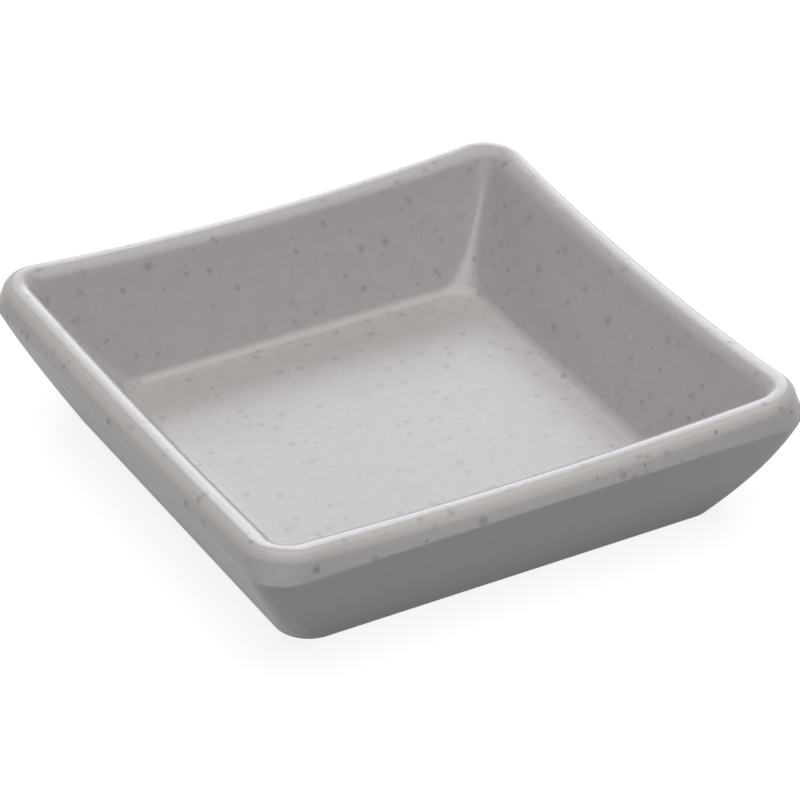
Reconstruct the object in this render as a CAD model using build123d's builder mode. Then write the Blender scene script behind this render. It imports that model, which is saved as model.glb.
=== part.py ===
from build123d import *
import os
from math import atan, degrees, hypot, radians, sqrt, tan

# Square sauce dish, compression moulded in one piece.
# The origin is at the middle of the base, on the table, with +Z up and the sides along X and Y.
# Lengths are in millimetres and angles in degrees.

# Outside: a sloping wall up to the parting line, then a drafted band up to the rim
base_width = 71.8
wall_corner_radius = 6.0
parting_width = 90.0
parting_height = 17.5
band_draft = 12.0
band_corner_radius = 6.0

# Rim: its top is dished, so that the corners stand higher than the middles of the sides.
# Its thickness is at its highest level, where it is thinnest.
rim_side_height = 20.05
rim_corner_height = 21.35
rim_thickness = 2.2
rim_outer_round = 1.3
rim_inner_round = 1.8

# Inside: a flat floor and straight sloping walls
floor_width = 61.0
floor_level = 4.4
floor_round = 2.3
cavity_corner_radius = 4.2

# Underside: a shallow recess that leaves a flat foot ring
foot_ring_width = 4.0
recess_depth = 1.2
recess_corner_radius = 3.0

# The blocks that the dish is cut from stand this much above the rim, whose dished top then trims them
trim_allowance = 1.0

# Levels of the rim, and widths that change steadily with height
rim_top = max(rim_side_height, rim_corner_height)
rim_bottom = min(rim_side_height, rim_corner_height)
trim_level = rim_top + trim_allowance


def wall_width(height):
    """Outside width of the sloping wall, which reaches the parting width at the parting line."""
    return base_width + (parting_width - base_width) * height / parting_height


def band_width(height):
    """Outside width of the band, which leans in above the parting line."""
    return parting_width - 2 * tan(radians(band_draft)) * (height - parting_height)


def cavity_width(height):
    """Inside width, which leaves the rim its thickness at the highest level of the rim."""
    mouth_width = band_width(rim_top) - 2 * rim_thickness
    return floor_width + (mouth_width - floor_width) * (height - floor_level) / (rim_top - floor_level)


# Rounds of the rim, which leave a narrow flat between them, and of the floor
outer_round = min(rim_outer_round, 0.54 * rim_thickness, 0.7 * (rim_bottom - parting_height))
inner_round = min(rim_inner_round, 0.92 * rim_thickness)
floor_edge_round = min(floor_round, 0.8 * cavity_corner_radius)

# Ball that passes through the middles of the rim's sides and through its corners
side_reach = band_width(rim_side_height) / 2
corner_reach = band_width(rim_corner_height) / 2 * sqrt(2) - band_corner_radius * (sqrt(2) - 1)
corner_rise = rim_corner_height - rim_side_height
ball_height = (rim_corner_height + rim_side_height) / 2 + (corner_reach**2 - side_reach**2) / (2 * corner_rise)
ball_radius = hypot(side_reach, ball_height - rim_side_height)


def drafted_block(width_at, bottom, corner_radius):
    """Square block from a level up to the trim level, with sloping sides and round corners."""
    width = width_at(bottom)
    height = trim_level - bottom
    lean = degrees(atan((width - width_at(trim_level)) / 2 / height))
    with BuildPart() as block:
        with Locations((0, 0, bottom)):
            Box(width, width, height, align=(Align.CENTER, Align.CENTER, Align.MIN))
        draft(block.faces().filter_by(Axis.Z, reverse=True), Plane.XY.offset(bottom), lean)
        fillet(block.edges().filter_by(Plane.XY, reverse=True), corner_radius)
    return block.part


wall_block = drafted_block(wall_width, 0, wall_corner_radius)
band_block = drafted_block(band_width, 0, band_corner_radius)
cavity_block = drafted_block(cavity_width, floor_level, cavity_corner_radius)

with BuildPart() as dish:
    # The wall below the parting line and the band above it meet in the crease at the parting line
    add(wall_block)
    add(band_block, mode=Mode.INTERSECT)
    add(cavity_block, mode=Mode.SUBTRACT)

    # Top of the rim: dished by a ball above it, or domed by a ball below it if the sides are higher.
    # The ball lies on its side, which keeps its poles and its seam away from the rim.
    with Locations((0, 0, ball_height)):
        Sphere(ball_radius, rotation=(90, 0, 0), mode=Mode.SUBTRACT if corner_rise > 0 else Mode.INTERSECT)

    # Rolled rim
    rim_face = dish.faces().filter_by(GeomType.SPHERE)[0]
    fillet(rim_face.outer_wire().edges(), outer_round)
    rim_face = dish.faces().filter_by(GeomType.SPHERE)[0]
    fillet(rim_face.inner_wires()[0].edges(), inner_round)

    # Soft edge all round the floor
    floor_face = dish.faces().filter_by(Axis.Z).sort_by(Axis.Z)[-1]
    fillet(floor_face.edges(), floor_edge_round)

    # Recess under the floor, inside the foot ring
    with BuildSketch():
        recess_width = base_width - 2 * foot_ring_width
        RectangleRounded(recess_width, recess_width, recess_corner_radius)
    extrude(amount=recess_depth, mode=Mode.SUBTRACT)

dish.part.label = "dish"
os.makedirs("parts", exist_ok=True)
export_step(dish.part, "parts/dish.step")
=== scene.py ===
from math import cos, pi, radians, sin, sqrt

import bpy
from bpy.props import FloatProperty, FloatVectorProperty, IntProperty, PointerProperty
from bpy.types import Operator, Panel, PropertyGroup
from mathutils import Matrix, Vector


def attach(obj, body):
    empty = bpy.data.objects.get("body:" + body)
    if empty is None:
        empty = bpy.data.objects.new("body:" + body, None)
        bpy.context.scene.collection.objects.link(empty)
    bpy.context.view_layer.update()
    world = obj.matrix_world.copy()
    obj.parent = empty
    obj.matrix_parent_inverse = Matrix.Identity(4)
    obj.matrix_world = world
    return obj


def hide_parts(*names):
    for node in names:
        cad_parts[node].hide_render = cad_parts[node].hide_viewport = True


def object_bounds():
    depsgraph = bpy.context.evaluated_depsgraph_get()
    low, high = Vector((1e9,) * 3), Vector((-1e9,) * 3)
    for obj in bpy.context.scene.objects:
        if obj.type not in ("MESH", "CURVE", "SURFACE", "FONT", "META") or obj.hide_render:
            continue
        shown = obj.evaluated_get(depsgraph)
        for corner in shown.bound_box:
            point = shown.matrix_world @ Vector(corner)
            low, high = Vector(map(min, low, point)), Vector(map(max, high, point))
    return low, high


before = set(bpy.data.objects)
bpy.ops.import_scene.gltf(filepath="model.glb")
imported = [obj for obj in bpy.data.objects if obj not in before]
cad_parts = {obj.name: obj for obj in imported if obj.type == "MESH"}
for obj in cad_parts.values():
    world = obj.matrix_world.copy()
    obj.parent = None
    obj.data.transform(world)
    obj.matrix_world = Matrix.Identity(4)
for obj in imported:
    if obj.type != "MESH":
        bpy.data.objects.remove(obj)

bl_info = {
    "name": "Square Sauce Dish",
    "version": (1, 0, 0),
    "blender": (4, 5, 0),
    "location": "View3D > Sidebar > Sauce Dish",
    "description": "Builds a square moulded sauce dish with a speckled finish, and its studio",
    "category": "Object",
}

# The construction model's box, in metres, and the names that the pieces use in it
CAD_LOW, CAD_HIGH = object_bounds()
CAD_BODY = "root"
CAD_NODE = "dish"


# Kinds of values that a user can change

def length(name, default, description):
    """A size of the dish or the studio, in metres."""
    return FloatProperty(
        name=name, description=description, default=default, min=0, precision=5, subtype="DISTANCE"
    )


def offset(name, default, description):
    """A distance to one side or the other, in metres."""
    return FloatProperty(
        name=name, description=description, default=default, precision=5, subtype="DISTANCE"
    )


def angle(name, default, description):
    """An angle, given in degrees and kept in radians."""
    return FloatProperty(
        name=name, description=description, default=radians(default), subtype="ANGLE"
    )


def share(name, default, description):
    """A share from none to all."""
    return FloatProperty(
        name=name, description=description, default=default, min=0, max=1, subtype="FACTOR"
    )


def power(name, default, description):
    """The power of a lamp, in watts."""
    return FloatProperty(name=name, description=description, default=default, min=0, unit="POWER")


def tint(name, default, description):
    """A linear colour."""
    return FloatVectorProperty(
        name=name, description=description, default=default, min=0, max=1, subtype="COLOR"
    )


def count(name, default, least, description):
    """A number of mesh points."""
    return IntProperty(name=name, description=description, default=default, min=least)


class DishSizes(PropertyGroup):
    """Sizes of the moulded dish"""

    base_width: length("Base Width", 0.0718, "Width across the foot ring, on the table")
    base_corner_radius: length("Base Corner Radius", 0.0053, "Corner radius of the foot ring")
    base_edge_round: length("Base Edge Round", 0.0002, "Round of the edge that stands on the table")
    wall_belly: length("Wall Belly", 0.0002, "How far the outside wall swells out half way up")
    wall_corner_belly: length(
        "Wall Corner Belly", 0.0026, "How much tighter its corners are half way up"
    )
    crease_height: length("Crease Height", 0.01745, "Height of the crease at the parting line")
    crease_round: length("Crease Round", 0.00015, "Round of the crease at the parting line")
    band_width: length("Band Width", CAD_HIGH.x - CAD_LOW.x, "Overall width, at the crease")
    band_corner_radius: length(
        "Band Corner Radius", 0.0056, "Corner radius of the band at the crease"
    )
    band_fade: length(
        "Band Fade", 0.0009, "How far the ground finish of the band fades in over the rim"
    )
    shoulder_inset: length(
        "Shoulder Inset", 0.00045, "How far the shoulder of the band lies inside the crease"
    )
    shoulder_drop: length(
        "Shoulder Drop", 0.0011, "How far the shoulder of the band lies below the rim"
    )
    shoulder_round: length("Shoulder Round", 0.0021, "Round of the shoulder of the band")
    rim_side_height: length(
        "Rim Height at the Sides", 0.0202, "Height of the rim at the middle of a side"
    )
    rim_corner_height: length("Rim Height at the Corners", 0.0217, "Height of the rim at a corner")
    rim_inset: length(
        "Rim Inset", 0.0014, "How far the outer edge of the rim lies inside the crease"
    )
    rim_thickness: length(
        "Rim Thickness", 0.00286, "Thickness of the rim before its edges are rounded"
    )
    rim_corner_radius: length(
        "Rim Corner Radius", 0.0061, "Corner radius of the outer edge of the rim"
    )
    rim_outer_round: length(
        "Rim Outer Round", 0.0015, "Outer round of the rim at the middle of a side"
    )
    rim_inner_round: length(
        "Rim Inner Round", 0.0032, "Inner round of the rim at the middle of a side"
    )
    rim_draw_in: length(
        "Rim Draw-in", 0.00044, "How far the sides curve in at the middle of the rim"
    )
    mouth_corner_radius: length(
        "Mouth Corner Radius", 0.0027, "Corner radius at the top of the inside walls"
    )
    inside_corner_pinch: length(
        "Inside Corner Pinch", 0.0027, "How much tighter the corners get up the inside walls"
    )
    inside_corner_radius: length(
        "Inside Corner Radius", 0.0006, "Least corner radius of the inside walls"
    )
    floor_width: length("Floor Width", 0.061, "Width of the floor before its edge is rounded")
    floor_level: length("Floor Level", 0.0044, "Height of the floor above the table")
    floor_corner_radius: length("Floor Corner Radius", 0.0045, "Corner radius of the floor")
    floor_round: length("Floor Round", 0.0022, "Round between the floor and the walls")
    foot_ring_width: length(
        "Foot Ring Width", 0.004, "Width of the flat ring that stands on the table"
    )
    recess_depth: length("Recess Depth", 0.0012, "Depth of the recess inside the foot ring")
    recess_corner_radius: length("Recess Corner Radius", 0.003, "Corner radius of the recess")
    recess_round: length("Recess Round", 0.0006, "Round of the edges of the recess")
    ring_spacing: length("Ring Spacing", 0.0016, "Largest distance between two rings of the mesh")
    around_count: count("Around Count", 288, 24, "Mesh points round the dish")
    round_count: count("Round Count", 9, 2, "Mesh points across each round")


class MelamineFinish(PropertyGroup):
    """Colours and texture of the moulded melamine"""

    body_tint: tint("Body", (0.475, 0.453, 0.454), "Colour of the plain melamine")
    cloud_tint: tint("Clouds", (0.457, 0.435, 0.438), "Colour of its faint clouds")
    fleck_tint: tint("Flecks", (0.2, 0.187, 0.21), "Colour of the soft flecks below the surface")
    dot_tint: tint("Dots", (0.09, 0.084, 0.095), "Colour of the fine sharp dots")
    pale_tint: tint("Pale Flecks", (0.7, 0.685, 0.665), "Colour of the few pale flecks")
    fleck_strength: share("Fleck Strength", 0.62, "How clearly the soft flecks show")
    dot_strength: share("Dot Strength", 0.4, "How clearly the fine dots show through the skin")
    ground_dot_strength: share(
        "Ground Dot Strength", 0.85, "How clearly the fine dots show on the ground rim"
    )
    pale_strength: share("Pale Strength", 0.5, "How clearly the pale flecks show")
    # The ground rim's lighter colour is partly its real ground finish and partly a painted
    # highlight on the rim and the band
    ground_rim_and_highlight_tint: tint(
        "Ground Rim", (0.655, 0.63, 0.618), "Colour of the rim, which is ground after moulding"
    )
    # The foot colour is painted shade: a darker, cooler wall by the table that stands in for the
    # contact shadow and the floor's bounce light
    painted_foot_shade_tint: tint("Foot", (0.36, 0.345, 0.355), "Colour of the outside wall down by the table")
    painted_foot_shade_strength: share("Foot Strength", 0.8, "How clearly the darker foot shows")
    gloss_roughness: share("Roughness", 0.28, "Roughness of the satin surface")
    wall_dullness: share(
        "Wall Dullness", 0.75, "How much the specks and the ripple fade on the outside wall"
    )
    wall_roughness: share("Wall Roughness", 0.44, "Roughness of the outside wall")
    ground_roughness: share("Ground Roughness", 0.34, "Roughness of the ground rim")


class StudioStage(PropertyGroup):
    """Camera, lamps and floor"""

    azimuth: angle("Azimuth", -29.512, "Direction of the camera round the dish")
    elevation: angle("Elevation", 32.474, "Height of the camera above the horizon")
    roll: angle("Roll", 0.124, "Tilt of the camera about its line of sight")
    distance: length("Distance", 0.6645, "Distance from the camera to its target")
    target_height: length("Target Height", 0.01086, "Height of the target above the table")
    shift_right: offset("Shift Right", 0.0012, "How far the target lies to the right")
    shift_up: offset("Shift Up", -0.00086, "How far the target lies upwards in the picture")
    focal_length: FloatProperty(
        name="Focal Length", description="Focal length of the camera", default=202.5, unit="CAMERA"
    )
    overhead_power: power("Overhead Power", 8.9, "Power of the soft light above")
    overhead_size: length("Overhead Size", 1.2, "Width of the soft light above")
    front_power: power("Front Power", 2.45, "Power of the soft light on the camera's side")
    front_size: length("Front Size", 1.2, "Width of the soft light on the camera's side")
    front_azimuth: angle("Front Azimuth", -30, "Direction of the front light round the dish")
    front_elevation: angle("Front Elevation", 35, "Height of the front light above the horizon")
    back_power: power("Back Power", 3.6, "Power of the soft light behind the dish")
    back_size: length("Back Size", 0.54, "Width of the soft light behind the dish")
    back_azimuth: angle("Back Azimuth", 146, "Direction of the back light round the dish")
    back_elevation: angle("Back Elevation", 22, "Height of the back light above the horizon")
    overhead_tint: tint("Overhead Colour", (1, 0.965, 0.92), "Colour of the soft light above")
    low_tint: tint("Low Colour", (0.86, 0.92, 1), "Colour of the front and the back light")
    lamp_distance: length("Lamp Distance", 1.0, "Distance from the dish to each soft light")
    fill_strength: share("Fill", 0.02, "Even light from all round")
    floor_glow: share("Floor Glow", 0.84, "White that the floor adds in the picture")
    floor_tint: tint("Floor", (0.34, 0.345, 0.365), "Colour of the floor")


# Node trees

class Rule:
    """A socket that takes part in sums, so that a shape or a finish reads as it would on paper."""

    def __init__(self, socket):
        self.socket = socket

    def math(self, operation, *values):
        """A sum that Blender's Math node knows by name."""
        node = place(self.socket.id_data, "ShaderNodeMath", operation=operation)
        return outcome(fill(node, self, *values))

    def __add__(self, value):
        return self.math("ADD", value)

    def __sub__(self, value):
        return self.math("SUBTRACT", value)

    def __mul__(self, value):
        return self.math("MULTIPLY", value)

    def __truediv__(self, value):
        return self.math("DIVIDE", value)

    def __rsub__(self, value):
        return (self * -1) + value

    def clamped(self):
        """The value, kept from 0 to 1."""
        return result(self.socket.id_data, "ShaderNodeClamp", {"Value": self})


def plug(entry, value):
    """Joins a rule to a node's entry, or sets the entry to a plain value."""
    if isinstance(value, Rule):
        entry.id_data.links.new(value.socket, entry)
    else:
        entry.default_value = value


def fill(node, *values):
    """Joins or sets the first entries of a node, in order."""
    for entry, value in zip(node.inputs, values):
        plug(entry, value)
    return node


def place(tree, kind, entries=None, **settings):
    """Adds a node, sets its own settings, then joins or sets the entries that are named."""
    node = tree.nodes.new(kind)
    for name, value in settings.items():
        setattr(node, name, value)
    for name, value in (entries or {}).items():
        plug(next(entry for entry in node.inputs if entry.enabled and entry.name == name), value)
    return node


def outcome(node):
    """The first output in use of a node, as a rule."""
    return Rule(next(output for output in node.outputs if output.enabled))


def result(tree, kind, entries=None, **settings):
    """What a new node puts out first."""
    return outcome(place(tree, kind, entries, **settings))


def declare(tree, names, kind="NodeSocketFloat"):
    """Gives a tree inputs of one kind and returns them by name, as rules."""
    for name in names:
        tree.interface.new_socket(name, in_out="INPUT", socket_type=kind)
    group_input = place(tree, "NodeGroupInput")
    return {name: Rule(group_input.outputs[name]) for name in names}


def hand_out(tree, name, kind, value):
    """Gives a tree an output and joins a rule to it."""
    tree.interface.new_socket(name, in_out="OUTPUT", socket_type=kind)
    plug(place(tree, "NodeGroupOutput").inputs[name], value)


def apart(tree, vector):
    """The three numbers of a vector."""
    node = place(tree, "ShaderNodeSeparateXYZ", {"Vector": vector})
    return [Rule(output) for output in node.outputs]


def together(tree, x, y, z):
    """A vector from three numbers."""
    return result(tree, "ShaderNodeCombineXYZ", {"X": x, "Y": y, "Z": z})


def vectors(tree, operation, first, second):
    """A sum that Blender's Vector Math node makes of two vectors."""
    return outcome(fill(place(tree, "ShaderNodeVectorMath", operation=operation), first, second))


def ramp(tree, value, start, end, kind="SMOOTHSTEP"):
    """Goes from 0 where the value is at its start to 1 where it is at its end."""
    entries = {"Value": value, "From Min": start, "From Max": end}
    return result(tree, "ShaderNodeMapRange", entries, interpolation_type=kind)


# Values that a geometry keeps under a name or an index

def marked(tree, geometry, name, value, data_type="FLOAT"):
    """A geometry that keeps a value under a name at each of its points."""
    entries = {"Geometry": geometry, "Name": name, "Value": value}
    return result(tree, "GeometryNodeStoreNamedAttribute", entries, data_type=data_type)


def named(tree, name, data_type="FLOAT"):
    """The value kept under a name."""
    return result(tree, "GeometryNodeInputNamedAttribute", {"Name": name}, data_type=data_type)


def sampled(tree, geometry, value, index, data_type="FLOAT"):
    """A value at one point of a geometry."""
    entries = {"Geometry": geometry, "Value": value, "Index": index}
    return result(tree, "GeometryNodeSampleIndex", entries, data_type=data_type)


# Section of the dish

SECTION_SIZES = (
    "Floor Half",
    "Floor Level",
    "Floor Core",
    "Floor Round",
    "Mouth Half",
    "Mouth Core",
    "Inner Round",
    "Rim Half",
    "Rim Height",
    "Rim Core",
    "Outer Round",
    "Shoulder Half",
    "Shoulder Drop",
    "Shoulder Round",
    "Crease Half",
    "Crease Height",
    "Crease Core",
    "Crease Round",
    "Base Half",
    "Base Core",
    "Base Edge Round",
    "Recess Half",
    "Recess Core",
    "Recess Depth",
    "Recess Round",
    "Round Count",
)

# The station at the edge of the base, with the outside wall above it and the foot ring inside it
BASE_STATION = 6


def by_station(tree, data_type, values):
    """A value for each station of the section, in order."""
    station = result(tree, "GeometryNodeInputIndex")
    switch = place(tree, "GeometryNodeIndexSwitch", data_type=data_type)
    for _ in range(len(values) - len(switch.index_switch_items)):
        switch.index_switch_items.new()
    return outcome(fill(switch, station, *values))


def make_section_tree():
    """Section from the middle of the floor, over the rim, to the middle of the underside.

    X is half the width of the dish at a station and Z its height. Each station also keeps its core,
    which is half the width less the corner radius there, and its climb, which goes from 0 at the
    edge of the base to 1 up the outside wall and across the foot ring.
    """
    tree = bpy.data.node_groups.new("Dish Section", "GeometryNodeTree")
    size = declare(tree, SECTION_SIZES)

    # Half width, height, core and round of each station. The shoulder shares the rim's core.
    shoulder_height = size["Rim Height"] - size["Shoulder Drop"]
    roof_half = size["Recess Half"] - size["Recess Round"]
    stations = (
        (0, size["Floor Level"], 0, 0),
        (size["Floor Half"], size["Floor Level"], size["Floor Core"], size["Floor Round"]),
        (size["Mouth Half"], size["Rim Height"], size["Mouth Core"], size["Inner Round"]),
        (size["Rim Half"], size["Rim Height"], size["Rim Core"], size["Outer Round"]),
        (size["Shoulder Half"], shoulder_height, size["Rim Core"], size["Shoulder Round"]),
        (size["Crease Half"], size["Crease Height"], size["Crease Core"], size["Crease Round"]),
        (size["Base Half"], 0, size["Base Core"], size["Base Edge Round"]),
        (size["Recess Half"], 0, size["Recess Core"], size["Base Edge Round"]),
        (roof_half, size["Recess Depth"], size["Recess Core"], size["Recess Round"]),
        (0, size["Recess Depth"], 0, 0),
    )
    halves, heights, cores, bends = zip(*stations)
    places = [together(tree, half, 0, height) for half, height in zip(halves, heights)]
    points = result(
        tree,
        "GeometryNodePoints",
        {"Count": len(stations), "Position": by_station(tree, "VECTOR", places)},
    )
    line = result(tree, "GeometryNodePointsToCurves", {"Points": points})
    line = marked(tree, line, "core", by_station(tree, "FLOAT", cores))
    climb = 1 - result(tree, "GeometryNodeInputIndex").math("COMPARE", BASE_STATION)
    line = marked(tree, line, "climb", climb)
    rounded = result(
        tree,
        "GeometryNodeFilletCurve",
        {"Curve": line, "Count": size["Round Count"], "Radius": by_station(tree, "FLOAT", bends)},
        mode="POLY",
    )
    hand_out(tree, "Section", "NodeSocketGeometry", rounded)
    return tree


# Shell of the dish

DISH_COUNTS = ("around_count", "round_count")
DISH_LENGTHS = tuple(name for name in DishSizes.__annotations__ if name not in DISH_COUNTS)

SIDES = 4
QUARTER_TURN = pi / 2

# Share of each quarter turn that runs along half a side, before and after the corner
HALF_SIDE_SHARE = 1 / 3

# How quickly the curve of the sides fades below the rim
DRAW_IN_POWER = 6

# How far towards the floor and the rim the inside corners stay tight: the higher, the farther
PINCH_POWER = 4

# Share of the rim's inner round by which the top of the tight corners lies below the rim
PINCH_TOP_SHARE = 0.4

# Allowances for rounding: in the turn, in the climb, and in metres where the mesh closes
TURN_SLACK = 0.0001
CLIMB_SLACK = 0.001
SEAM_GAP = 0.000001


def make_dish_tree():
    """Carries the section round a square with round corners, and lifts the rim at the corners."""
    tree = bpy.data.node_groups.new("Sauce Dish", "GeometryNodeTree")
    size = declare(tree, DISH_LENGTHS)
    counts = declare(tree, DISH_COUNTS, "NodeSocketInt")
    material = declare(tree, ("material",), "NodeSocketMaterial")["material"]

    # Half widths
    band_half = size["band_width"] * 0.5
    base_half = size["base_width"] * 0.5
    floor_half = size["floor_width"] * 0.5
    recess_half = base_half - size["foot_ring_width"]
    shoulder_half = band_half - size["shoulder_inset"]
    rim_half = band_half - size["rim_inset"]
    mouth_half = rim_half - size["rim_thickness"]

    # Half widths less the corner radius
    rim_core = rim_half - size["rim_corner_radius"]
    mouth_core = mouth_half - size["mouth_corner_radius"]

    # At the corners the rim is slimmer, because its outer corner is blunter than its inner one
    slimmer = 1 - (mouth_core - rim_core) * (sqrt(2) - 1) / size["rim_thickness"]

    # Sections at the middle of a side and at a corner, where the rim is higher and slimmer
    section_tree = make_section_tree()
    alike = {
        "Floor Half": floor_half,
        "Floor Level": size["floor_level"],
        "Floor Core": floor_half - size["floor_corner_radius"],
        "Floor Round": size["floor_round"],
        "Mouth Half": mouth_half,
        "Mouth Core": mouth_core,
        "Rim Half": rim_half,
        "Rim Core": rim_core,
        "Shoulder Half": shoulder_half,
        "Shoulder Drop": size["shoulder_drop"],
        "Shoulder Round": size["shoulder_round"],
        "Crease Half": band_half,
        "Crease Height": size["crease_height"],
        "Crease Core": band_half - size["band_corner_radius"],
        "Crease Round": size["crease_round"],
        "Base Half": base_half,
        "Base Core": base_half - size["base_corner_radius"],
        "Base Edge Round": size["base_edge_round"],
        "Recess Half": recess_half,
        "Recess Core": recess_half - size["recess_corner_radius"],
        "Recess Depth": size["recess_depth"],
        "Recess Round": size["recess_round"],
        "Round Count": counts["round_count"],
    }

    def section(height, share_of_rounds):
        """The section with its rim at a height."""
        entries = {
            "Rim Height": height,
            "Inner Round": size["rim_inner_round"] * share_of_rounds,
            "Outer Round": size["rim_outer_round"] * share_of_rounds,
        }
        return result(tree, "GeometryNodeGroup", {**alike, **entries}, node_tree=section_tree)

    side_section = section(size["rim_side_height"], 1)
    corner_section = section(size["rim_corner_height"], slimmer)

    # One line with both sections, with more points on its long straights
    position = result(tree, "GeometryNodeInputPosition")
    index = result(tree, "GeometryNodeInputIndex")
    corner_place = sampled(tree, corner_section, position, index, "FLOAT_VECTOR")
    line = marked(tree, side_section, "corner_place", corner_place, "FLOAT_VECTOR")
    next_place = result(
        tree,
        "GeometryNodeFieldAtIndex",
        {"Value": position, "Index": index + 1},
        data_type="FLOAT_VECTOR",
    )
    run = vectors(tree, "DISTANCE", position, next_place)
    cuts = (run / size["ring_spacing"]).math("FLOOR")
    line = result(tree, "GeometryNodeSubdivideCurve", {"Curve": line, "Cuts": cuts})
    tally = place(tree, "GeometryNodeAttributeDomainSize", {"Geometry": line}, component="CURVE")
    station_count = Rule(tally.outputs["Point Count"])

    # A sheet whose X goes round the dish and whose Y goes along the section
    vertices = {"Vertices X": counts["around_count"] + 1, "Vertices Y": station_count}
    sheet = result(tree, "GeometryNodeMeshGrid", {"Size X": 1, "Size Y": 1, **vertices})
    sheet_x, sheet_y, _ = apart(tree, position)
    turn = (sheet_x + 0.5) * SIDES
    quarter = (turn + TURN_SLACK).math("FLOOR")
    within = turn - quarter
    station = ((sheet_y + 0.5) * (station_count - 1)).math("ROUND")

    # Along half a side, round the corner, and along half of the next side
    before = (within / HALF_SIDE_SHARE).clamped()
    after = ((1 - within) / HALF_SIDE_SHARE).clamped()
    swing = ((within - HALF_SIDE_SHARE) / (1 - 2 * HALF_SIDE_SHARE)).clamped() * QUARTER_TURN
    facing_x = swing.math("COSINE")
    facing_y = swing.math("SINE")

    def plan(core, reach):
        """Place in plan of a point that stands off the core square by its reach."""
        return after * core + facing_x * reach, before * core + facing_y * reach

    # Lift towards the corners, as if a ball had pressed the rim down
    rim_x, rim_y = plan(rim_core, size["rim_corner_radius"])
    corner_reach = rim_core * sqrt(2) + size["rim_corner_radius"]
    corner_square = corner_reach * corner_reach
    side_square = rim_half * rim_half
    lift = (rim_x * rim_x + rim_y * rim_y - side_square) / (corner_square - side_square)

    def at_station(value, data_type="FLOAT"):
        """What the section keeps at the station of a point."""
        return sampled(tree, line, value, station, data_type)

    section_place = result(
        tree,
        "ShaderNodeMix",
        {
            "Factor": lift,
            "A": at_station(position, "FLOAT_VECTOR"),
            "B": at_station(named(tree, "corner_place", "FLOAT_VECTOR"), "FLOAT_VECTOR"),
        },
        data_type="VECTOR",
    )
    half, _, height = apart(tree, section_place)
    core = at_station(named(tree, "core"))

    # An outside wall that swells a little, mostly at the corners. The belly is 1 half way up.
    climb = at_station(named(tree, "climb"))
    belly = climb * (1 - climb) * 4
    core = core + belly * size["wall_corner_belly"]

    # Inside corners that are tight along most of the wall, and wider near the floor and the rim
    inside = (climb + CLIMB_SLACK).math("FLOOR") * half.math("LESS_THAN", mouth_half)
    pinch_top = size["rim_side_height"] - size["rim_inner_round"] * PINCH_TOP_SHARE
    rise = ((height - size["floor_level"]) / (pinch_top - size["floor_level"])).clamped()
    from_middle = rise * 2 - 1
    tight = inside * (1 - from_middle.math("POWER", PINCH_POWER))
    room = (half - core - size["inside_corner_radius"]).math("MAXIMUM", 0)
    core = core + (tight * size["inside_corner_pinch"]).math("MINIMUM", room)

    # Sides that curve in at their middles, near the rim
    along = before.math("MINIMUM", after)
    near_rim = (height / size["rim_side_height"]).math("POWER", DRAW_IN_POWER)
    inward = size["rim_draw_in"] * near_rim * (1 - along * along)
    x, y = plan(core, half - core + belly * size["wall_belly"] - inward)
    turned = result(
        tree,
        "ShaderNodeVectorRotate",
        {"Vector": together(tree, x, y, height), "Angle": quarter * QUARTER_TURN},
        rotation_type="Z_AXIS",
    )

    # Marks for the material: the climb, and the band, which is 0 on the rim and 1 at its shoulder
    band = ramp(tree, half, rim_half - size["band_fade"], shoulder_half)
    shell = marked(tree, marked(tree, sheet, "climb", climb), "band", band)
    shell = result(tree, "GeometryNodeSetPosition", {"Geometry": shell, "Position": turned})
    shell = result(tree, "GeometryNodeMergeByDistance", {"Geometry": shell, "Distance": SEAM_GAP})
    shell = result(tree, "GeometryNodeFlipFaces", {"Mesh": shell})
    shell = result(tree, "GeometryNodeSetShadeSmooth", {"Geometry": shell, "Shade Smooth": True})
    shell = result(tree, "GeometryNodeRealizeInstances", {"Geometry": shell})
    shell = result(tree, "GeometryNodeSetMaterial", {"Geometry": shell, "Material": material})
    hand_out(tree, "Shell", "NodeSocketGeometry", shell)
    return tree


# Speckled melamine

MELAMINE_IOR = 1.52

# Kinds of specks. Spacing, radius and warp are in metres, softness is the share of the radius over
# which a speck fades, and share is the share of places that have a speck.
FLECKS = {"Spacing": 0.0027, "Radius": 0.0011, "Softness": 0.85, "Share": 0.85, "Warp": 0.0008}
DOTS = {"Spacing": 0.0026, "Radius": 0.00044, "Softness": 0.6, "Share": 0.75, "Warp": 0.0004}
PALE_FLECKS = {"Spacing": 0.0042, "Radius": 0.0006, "Softness": 0.7, "Share": 0.6, "Warp": 0.0006}

# Moves, in metres, that keep the kinds of specks from coinciding
FLECK_MOVE = (0.011, 0.023, 0.005)
DOT_MOVE = (0.031, 0.007, 0.013)
PALE_MOVE = (0.003, 0.041, 0.019)

# Radius and depth of the least specks, as shares of those of the greatest
LEAST_SPECK_RADIUS = 0.4
LEAST_SPECK_DEPTH = 0.5

# Waves to the metre of each uneven pattern, and the levels of finer waves in all of them
CLOUD_SCALE = 420
BAND_EDGE_SCALE = 330
GLOSS_SCALE = 320
RIPPLE_SCALE = 240
SPECK_EDGE_SCALE = 1400
NOISE_DETAIL = 2

# The middle of a noise, and the values between which the clouds form
NOISE_MIDDLE = 0.5
CLOUD_START = 0.25
CLOUD_END = 0.75

# Climbs at which the ground band starts and is whole, and how far its lower edge wanders
BAND_EDGE_START = 0.984
BAND_EDGE_END = 0.991
BAND_EDGE_WANDER = 0.02

# Climbs below which the outside wall is plain, and below which painted shade darkens its foot
PLAIN_WALL_TOP = 0.97
FOOT_SHADE_TOP = 0.5

# How far the roughness varies, and the strength and the depth, in metres, of the moulded ripple
GLOSS_SPREAD = 0.05
RIPPLE_STRENGTH = 0.04
RIPPLE_DEPTH = 0.0001


def cleared(owner):
    """The empty node tree of a new material or world."""
    owner.use_nodes = True
    owner.node_tree.nodes.clear()
    return owner.node_tree


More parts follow.
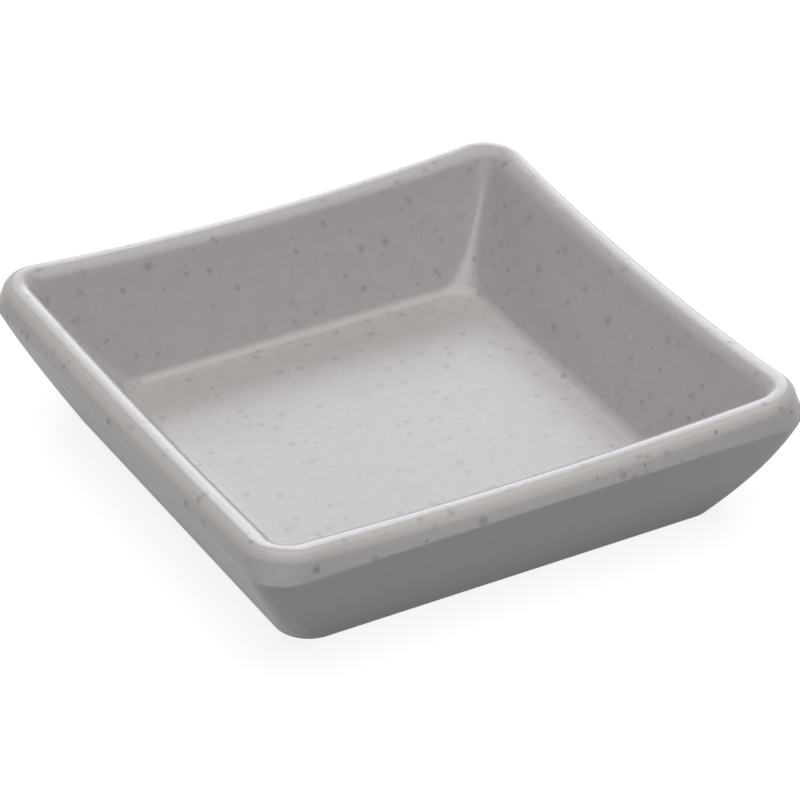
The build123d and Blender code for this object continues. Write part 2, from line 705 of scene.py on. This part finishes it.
def noise(tree, where, scale, output="Fac"):
    """An uneven pattern, as a number or as a colour."""
    entries = {"Vector": where, "Scale": scale, "Detail": NOISE_DETAIL}
    return Rule(place(tree, "ShaderNodeTexNoise", entries).outputs[output])


def make_speck_group():
    """Round specks scattered through the material, each with a size and a depth of its own."""
    group = bpy.data.node_groups.new("Scattered Specks", "ShaderNodeTree")
    value = declare(group, ("Spacing", "Radius", "Softness", "Share", "Warp"))
    where = declare(group, ("Vector",), "NodeSocketVector")["Vector"]

    # A little warp makes the outlines uneven
    wobble = noise(group, where, SPECK_EDGE_SCALE, "Color")
    wobble = vectors(group, "SUBTRACT", wobble, (NOISE_MIDDLE,) * 3)
    entries = {"Vector": wobble, "Scale": value["Warp"]}
    wobble = result(group, "ShaderNodeVectorMath", entries, operation="SCALE")
    warped = vectors(group, "ADD", where, wobble)

    # One place for a speck in each cell, with chance, size and depth drawn from the cell's colour
    scale = value["Spacing"].math("POWER", -1)
    cells = place(group, "ShaderNodeTexVoronoi", {"Vector": warped, "Scale": scale})
    away = Rule(cells.outputs["Distance"]) * value["Spacing"]
    draws = place(group, "ShaderNodeSeparateColor", {"Color": Rule(cells.outputs["Color"])})
    chance, growth, depth = (Rule(output) for output in draws.outputs)
    radius = value["Radius"] * (growth * (1 - LEAST_SPECK_RADIUS) + LEAST_SPECK_RADIUS)
    body = ramp(group, away, radius, radius * (1 - value["Softness"]))
    present = chance.math("LESS_THAN", value["Share"])
    clearness = depth * (1 - LEAST_SPECK_DEPTH) + LEAST_SPECK_DEPTH
    hand_out(group, "Mask", "NodeSocketFloat", body * present * clearness)
    return group


def make_melamine(finish):
    """Warm light grey melamine with soft flecks and fine dark dots, a lighter ground rim that is
    partly painted highlight, and a foot darkened by painted shade.
    """
    material = bpy.data.materials.new("speckled_melamine")
    tree = cleared(material)
    where = Rule(place(tree, "ShaderNodeTexCoord").outputs["Object"])
    climb, band = (
        Rule(place(tree, "ShaderNodeAttribute", attribute_name=name).outputs["Fac"])
        for name in ("climb", "band")
    )
    specks = make_speck_group()

    def scattered(kind, move):
        """Specks of one kind."""
        moved = result(tree, "ShaderNodeMapping", {"Vector": where, "Location": move})
        return result(tree, "ShaderNodeGroup", {"Vector": moved, **kind}, node_tree=specks)

    clouds = ramp(tree, noise(tree, where, CLOUD_SCALE), CLOUD_START, CLOUD_END)
    flecks = scattered(FLECKS, FLECK_MOVE)
    dots = scattered(DOTS, DOT_MOVE)
    pale = scattered(PALE_FLECKS, PALE_MOVE)

    # The ground rim, whose lighter colour is partly its ground finish and partly painted highlight,
    # ends in an uneven line just below the crease
    wander = (noise(tree, where, BAND_EDGE_SCALE) - NOISE_MIDDLE) * BAND_EDGE_WANDER
    ground = ramp(tree, climb + wander, BAND_EDGE_START, BAND_EDGE_END, "LINEAR") * band

    # Below that line the outside wall is plainer and duller, and painted shade darkens its foot
    # towards the table
    plain = ramp(tree, climb, 1, PLAIN_WALL_TOP, "LINEAR")
    speckle = 1 - plain * finish.wall_dullness
    # Painted shade: the outside wall darkens towards the table, like a contact shadow
    foot = ramp(tree, climb, FOOT_SHADE_TOP, 0)

    # Colours, each laid over the ones before it
    clearer = finish.ground_dot_strength - finish.dot_strength
    dot_strength = ground * clearer + finish.dot_strength
    layers = (
        (clouds * speckle, finish.cloud_tint),
        (foot * finish.painted_foot_shade_strength, finish.painted_foot_shade_tint),
        (ground, finish.ground_rim_and_highlight_tint),
        (flecks * speckle * finish.fleck_strength, finish.fleck_tint),
        (pale * speckle * finish.pale_strength, finish.pale_tint),
        (dots * speckle * dot_strength, finish.dot_tint),
    )
    colour = (*finish.body_tint, 1)
    for mask, over in layers:
        entries = {"Factor": mask, "A": colour, "B": (*over, 1)}
        colour = result(tree, "ShaderNodeMix", entries, data_type="RGBA")

    # Satin skin: slightly uneven gloss and the faint ripple of a moulded surface
    satin = ground * (finish.ground_roughness - finish.gloss_roughness) + finish.gloss_roughness
    uneven = (noise(tree, where, GLOSS_SCALE) - NOISE_MIDDLE) * GLOSS_SPREAD
    roughness = uneven + satin + plain * (finish.wall_roughness - finish.gloss_roughness)
    ripple = noise(tree, where, RIPPLE_SCALE) * speckle
    entries = {"Strength": RIPPLE_STRENGTH, "Distance": RIPPLE_DEPTH, "Height": ripple}
    bumped = result(tree, "ShaderNodeBump", entries)
    shader = result(
        tree,
        "ShaderNodeBsdfPrincipled",
        {"Base Color": colour, "Roughness": roughness, "IOR": MELAMINE_IOR, "Normal": bumped},
    )
    plug(place(tree, "ShaderNodeOutputMaterial").inputs["Surface"], shader)
    return material


# Studio

WHITE = (1, 1, 1, 1)

# Distances in metres: the reach of the floor, and the nearest and farthest that the camera sees
FLOOR_REACH = 3.0
CLIP_START = 0.05
CLIP_END = 20


def bearing(azimuth, elevation):
    """Direction from the dish, with azimuth 0 in front of it."""
    level = cos(elevation)
    return Vector((sin(azimuth) * level, -cos(azimuth) * level, sin(elevation)))


def seen(tree):
    """1 for what the camera, a reflection or glass sees, and 0 for the light on the dish."""
    rays = place(tree, "ShaderNodeLightPath").outputs
    through_glass = Rule(rays["Is Transmission Ray"])
    return (Rule(rays["Is Camera Ray"]) + Rule(rays["Is Glossy Ray"]) + through_glass).clamped()


def make_floor_material(stage):
    """Pale floor that looks white to the camera and in reflections, and keeps the shadow."""
    material = bpy.data.materials.new("studio_floor")
    tree = cleared(material)
    plain = result(tree, "ShaderNodeBsdfDiffuse", {"Color": (*stage.floor_tint, 1)})
    strength = seen(tree) * stage.floor_glow
    glow = result(tree, "ShaderNodeEmission", {"Color": WHITE, "Strength": strength})
    lit = outcome(fill(place(tree, "ShaderNodeAddShader"), plain, glow))

    # From below, the floor is clear, so that the underside can be seen
    below = Rule(place(tree, "ShaderNodeNewGeometry").outputs["Backfacing"])
    clear = result(tree, "ShaderNodeBsdfTransparent")
    floor = outcome(fill(place(tree, "ShaderNodeMixShader"), below, lit, clear))
    plug(place(tree, "ShaderNodeOutputMaterial").inputs["Surface"], floor)
    return material


def make_world(stage):
    """Even light from all round, white where the camera or a reflection sees it."""
    world = bpy.data.worlds.new("studio_world")
    tree = cleared(world)
    strength = seen(tree) * (1 - stage.fill_strength) + stage.fill_strength
    sky = result(tree, "ShaderNodeBackground", {"Color": WHITE, "Strength": strength})
    plug(place(tree, "ShaderNodeOutputWorld").inputs["Surface"], sky)
    return world


# Operators and panel

class MESH_OT_sauce_dish(Operator):
    """Build the moulded dish with its speckled finish"""

    bl_idname = "mesh.sauce_dish"
    bl_label = "Sauce Dish"

    def execute(self, context):
        sizes = context.scene.dish_sizes
        values = {name: getattr(sizes, name) for name in DishSizes.__annotations__}
        values["material"] = make_melamine(context.scene.melamine_finish)
        tree = make_dish_tree()
        dish = bpy.data.objects.new("sauce_dish", bpy.data.meshes.new("sauce_dish"))
        context.scene.collection.objects.link(dish)
        modifier = dish.modifiers.new("Sauce Dish", "NODES")
        modifier.node_group = tree
        for item in tree.interface.items_tree:
            if item.in_out == "INPUT":
                modifier[item.identifier] = values[item.name]
        evaluated = dish.evaluated_get(context.evaluated_depsgraph_get())
        mesh = bpy.data.meshes.new_from_object(evaluated)
        dish.modifiers.remove(modifier)
        dish.data = mesh
        if len(mesh.polygons) == 0:
            raise RuntimeError("the dish has no faces")
        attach(dish, CAD_BODY)
        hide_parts(CAD_NODE)
        return {"FINISHED"}


class SCENE_OT_dish_studio(Operator):
    """Set out the floor, the lamps and the camera"""

    bl_idname = "scene.dish_studio"
    bl_label = "Dish Studio"

    def execute(self, context):
        scene = context.scene
        stage = scene.studio_stage

        # Floor
        mesh = bpy.data.meshes.new("studio_floor")
        signs = ((-1, -1), (1, -1), (1, 1), (-1, 1))
        corners = [(x * FLOOR_REACH, y * FLOOR_REACH, 0) for x, y in signs]
        mesh.from_pydata(corners, [], [(0, 1, 2, 3)])
        mesh.materials.append(make_floor_material(stage))
        floor = bpy.data.objects.new("studio_floor", mesh)
        scene.collection.objects.link(floor)

        # Soft light from above, from the front and from behind
        scene.world = make_world(stage)
        above = Vector((0, 0, 1))
        front = bearing(stage.front_azimuth, stage.front_elevation)
        behind = bearing(stage.back_azimuth, stage.back_elevation)
        overhead_tint, low_tint = stage.overhead_tint, stage.low_tint
        lamps = (
            ("overhead_softbox", stage.overhead_power, stage.overhead_size, overhead_tint, above),
            ("front_softbox", stage.front_power, stage.front_size, low_tint, front),
            ("back_softbox", stage.back_power, stage.back_size, low_tint, behind),
        )
        for name, watts, width, colour, direction in lamps:
            lamp = bpy.data.lights.new(name, "AREA")
            lamp.size = width
            lamp.energy = watts
            lamp.color = colour
            softbox = bpy.data.objects.new(name, lamp)
            softbox.location = direction * stage.lamp_distance
            softbox.rotation_euler = direction.to_track_quat("Z", "Y").to_euler()
            scene.collection.objects.link(softbox)

        # Camera
        back = bearing(stage.azimuth, stage.elevation)
        right = Vector((cos(stage.azimuth), sin(stage.azimuth), 0))
        up = back.cross(right)
        middle = Vector((0, 0, stage.target_height))
        target = right * stage.shift_right + up * stage.shift_up + middle
        lens = bpy.data.cameras.new("photo_camera")
        lens.lens = stage.focal_length
        lens.clip_start = CLIP_START
        lens.clip_end = CLIP_END
        camera = bpy.data.objects.new("photo_camera", lens)
        turn = Matrix((right, up, back)).transposed() @ Matrix.Rotation(stage.roll, 3, "Z")
        camera.matrix_world = Matrix.Translation(target + back * stage.distance) @ turn.to_4x4()
        scene.collection.objects.link(camera)
        scene.camera = camera
        scene.view_settings.view_transform = "Standard"
        return {"FINISHED"}


class VIEW3D_PT_sauce_dish(Panel):
    """Sizes, finish and studio of the dish"""

    bl_idname = "VIEW3D_PT_sauce_dish"
    bl_label = "Sauce Dish"
    bl_space_type = "VIEW_3D"
    bl_region_type = "UI"
    bl_category = "Sauce Dish"

    def draw(self, context):
        layout = self.layout
        layout.use_property_split = True
        groups = (
            (context.scene.dish_sizes, MESH_OT_sauce_dish),
            (context.scene.melamine_finish, None),
            (context.scene.studio_stage, SCENE_OT_dish_studio),
        )
        for group, operator in groups:
            box = layout.box()
            for name in group.__annotations__:
                box.prop(group, name)
            if operator:
                box.operator(operator.bl_idname)


CLASSES = (
    DishSizes,
    MelamineFinish,
    StudioStage,
    MESH_OT_sauce_dish,
    SCENE_OT_dish_studio,
    VIEW3D_PT_sauce_dish,
)


def register():
    for each in CLASSES:
        bpy.utils.register_class(each)
    bpy.types.Scene.dish_sizes = PointerProperty(type=DishSizes)
    bpy.types.Scene.melamine_finish = PointerProperty(type=MelamineFinish)
    bpy.types.Scene.studio_stage = PointerProperty(type=StudioStage)


def unregister():
    del bpy.types.Scene.studio_stage
    del bpy.types.Scene.melamine_finish
    del bpy.types.Scene.dish_sizes
    for each in reversed(CLASSES):
        bpy.utils.unregister_class(each)


def main():
    register()
    bpy.ops.mesh.sauce_dish()
    bpy.ops.scene.dish_studio()


if __name__ == "__main__":
    main()
